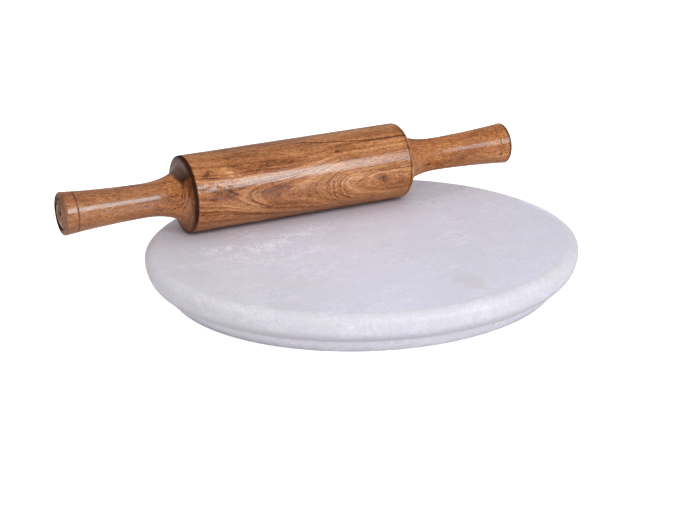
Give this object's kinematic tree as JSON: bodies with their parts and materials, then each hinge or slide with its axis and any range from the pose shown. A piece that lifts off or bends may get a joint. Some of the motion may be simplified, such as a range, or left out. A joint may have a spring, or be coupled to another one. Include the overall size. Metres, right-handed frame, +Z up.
{
  "type": "chakla rolling board with belan",
  "caption": "Round marble chakla on a foot disc, for rolling out flatbread, with a turned wooden belan that rolls across it.",
  "frame": {"origin": "centre of the foot disc's underside", "axes": "+Z up through the board's middle; +X along the belan's axis, from its scored left grip to its right grip; +Y towards the back of the board, where the belan rests"},
  "size_m": [0.295, 0.254, 0.0718],
  "materials": {
    "marble": "polished face with a honed rim",
    "honed_marble": "honed",
    "varnished_wood": "clear gloss varnish"
  },
  "bodies": {
    "board": {"marble_slab": "marble", "marble_foot": "honed_marble"},
    "pin": {"belan": "varnished_wood"}
  },
  "joints": [
    {"name": "belan_roll", "type": "slide", "parent": "board", "child": "pin", "axis": [0, -1, 0], "range_m": [-0.02, 0.149]}
  ]
}
